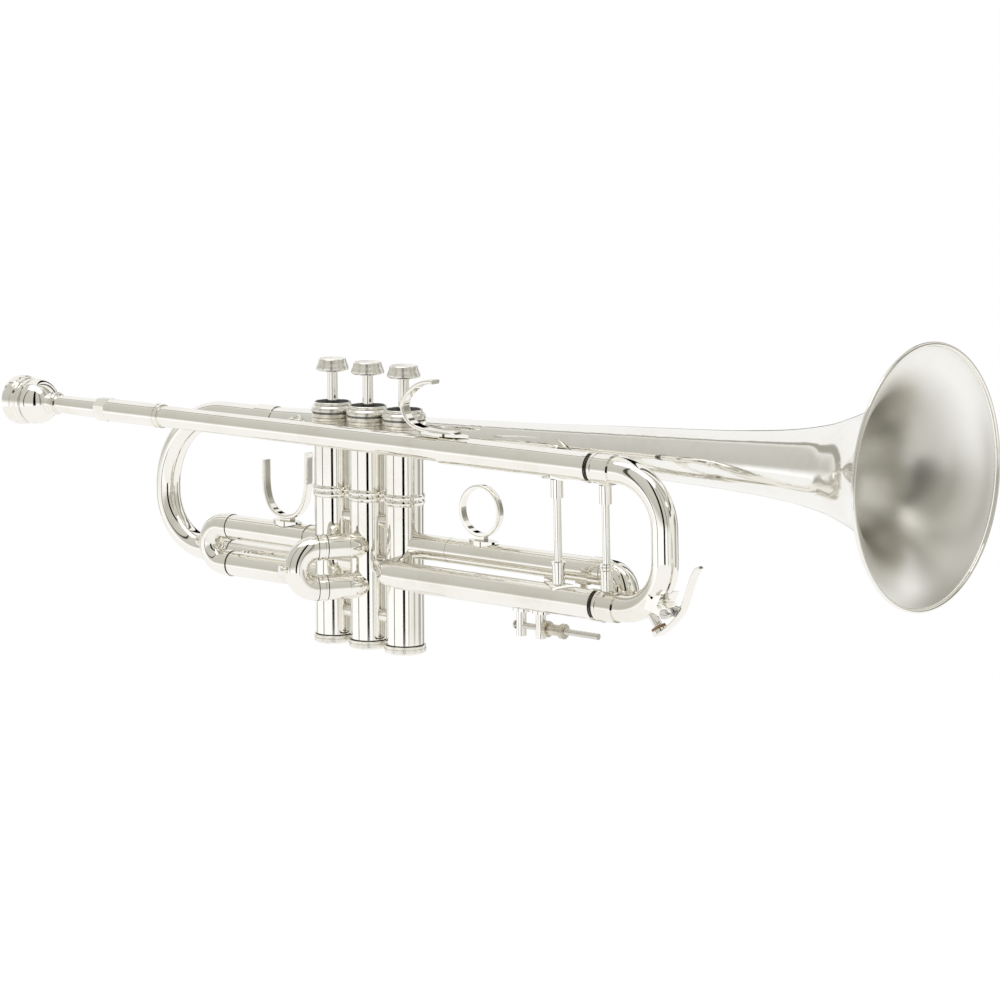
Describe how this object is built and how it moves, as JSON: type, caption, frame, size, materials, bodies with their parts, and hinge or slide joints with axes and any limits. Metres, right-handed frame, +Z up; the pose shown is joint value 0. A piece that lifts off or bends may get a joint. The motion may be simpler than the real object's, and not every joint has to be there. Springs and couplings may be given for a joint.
{
  "type": "trumpet",
  "caption": "Silver-plated piston-valve trumpet with mouthpiece, tuning and valve slides, water key, finger ring, thumb hook and a flared bell.",
  "frame": {"origin": "centre of the middle valve casing's joint, on the axis of the middle piston, where the left hand grips", "axes": "+X towards the bell mouth, +Y towards the player's left, +Z up along the pistons"},
  "size_m": [0.5485, 0.1266, 0.1751],
  "materials": {
    "silver_plate": "mirror-polished silver plate over brass",
    "silver_bell": "mirror-polished silver plate, satin inside the bell",
    "silver_turned": "silver plate with a fine turned grain",
    "nickel_silver": "polished nickel silver",
    "valve_monel": "honed valve metal, lightly oiled",
    "spring_steel": "bright spring wire",
    "black_felt": "black felt",
    "cork": "natural cork",
    "guide_plastic": "off-white plastic"
  },
  "bodies": {
    "instrument": {"valve_casings": "silver_plate", "upper_casings": "silver_plate", "casing_bands": "silver_plate", "top_caps": "silver_turned", "cap_felts": "black_felt", "cap_corks": "cork", "bottom_caps": "silver_turned", "valve_guides": "guide_plastic", "valve_spring_1": "spring_steel", "valve_spring_2": "spring_steel", "valve_spring_3": "spring_steel", "casing_links": "silver_plate", "mouthpiece_receiver": "silver_plate", "leadpipe": "silver_plate", "pinky_hook": "silver_plate", "tuning_sleeves": "silver_plate", "body_brace": "silver_plate", "bell_stem": "silver_bell", "bell_flare": "silver_bell", "bell_rim_bead": "silver_plate", "bell_bow": "silver_plate", "bell_bow_ferrules": "silver_plate", "bell_valve_tube": "silver_plate", "bell_braces": "silver_plate", "casing_stays": "silver_plate", "slide1_fixed_tubes": "silver_plate", "slide2_fixed_tubes": "silver_plate", "slide3_fixed_tubes": "silver_plate", "stop_post_fixed": "silver_plate", "stop_rod": "nickel_silver"},
    "mouthpiece": {"mouthpiece": "silver_plate"},
    "piston_1": {"piston_1": "valve_monel", "valve_stem_1": "silver_plate", "finger_button_1": "silver_turned"},
    "piston_2": {"piston_2": "valve_monel", "valve_stem_2": "silver_plate", "finger_button_2": "silver_turned"},
    "piston_3": {"piston_3": "valve_monel", "valve_stem_3": "silver_plate", "finger_button_3": "silver_turned"},
    "tuning_slide": {"tuning_bow": "silver_plate", "tuning_inner_tubes": "nickel_silver", "tuning_ferrules": "silver_plate", "slide_brace": "silver_plate", "water_key_mount": "silver_plate", "water_key_pin": "nickel_silver", "water_key_spring": "spring_steel"},
    "water_key": {"water_key_lever": "silver_plate", "water_key_cork": "cork"},
    "first_slide": {"slide1_moving_tubes": "silver_plate", "slide1_crook": "silver_plate", "thumb_hook": "silver_plate"},
    "second_slide": {"slide2_inner_tubes": "nickel_silver", "slide2_crook": "silver_plate"},
    "third_slide": {"slide3_moving_tubes": "silver_plate", "slide3_crook": "silver_plate", "slide3_ties": "silver_plate", "finger_ring": "silver_plate", "stop_post_moving": "silver_plate"},
    "stop_nuts": {"stop_nuts": "silver_turned"}
  },
  "joints": [
    {"name": "mouthpiece_slide", "type": "slide", "parent": "instrument", "child": "mouthpiece", "axis": [-1, 0, 0], "range_m": [0, 0.022]},
    {"name": "piston_1_slide", "type": "slide", "parent": "instrument", "child": "piston_1", "axis": [0, 0, -1], "range_m": [0, 0.0148], "stiffness_N_per_m": 90, "springref_m": -0.028, "deforming": ["valve_spring_1"]},
    {"name": "piston_2_slide", "type": "slide", "parent": "instrument", "child": "piston_2", "axis": [0, 0, -1], "range_m": [0, 0.0148], "stiffness_N_per_m": 90, "springref_m": -0.028, "deforming": ["valve_spring_2"]},
    {"name": "piston_3_slide", "type": "slide", "parent": "instrument", "child": "piston_3", "axis": [0, 0, -1], "range_m": [0, 0.0148], "stiffness_N_per_m": 90, "springref_m": -0.028, "deforming": ["valve_spring_3"]},
    {"name": "tuning_slide_pull", "type": "slide", "parent": "instrument", "child": "tuning_slide", "axis": [1, 0, 0], "range_m": [0, 0.045]},
    {"name": "water_key_hinge", "type": "hinge", "parent": "tuning_slide", "child": "water_key", "pos_m": [0.202, -0.01695, -0.0175], "axis": [0, -1, 0], "range_deg": [0, 12], "stiffness_Nm_per_rad": 0.05, "springref_deg": -22.92},
    {"name": "first_slide_pull", "type": "slide", "parent": "instrument", "child": "first_slide", "axis": [-1, 0, 0], "range_m": [0, 0.022]},
    {"name": "second_slide_pull", "type": "slide", "parent": "instrument", "child": "second_slide", "axis": [-0.5299, -0.848, 0], "range_m": [0, 0.008]},
    {"name": "third_slide_pull", "type": "slide", "parent": "instrument", "child": "third_slide", "axis": [1, 0, 0], "range_m": [0, 0.014]},
    {"name": "stop_nuts_slide", "type": "slide", "parent": "instrument", "child": "stop_nuts", "axis": [1, 0, 0], "range_m": [0, 0.014]}
  ],
  "couplings": [
    {"joint": "stop_nuts_slide", "follows": "third_slide_pull", "ratio": 1}
  ]
}
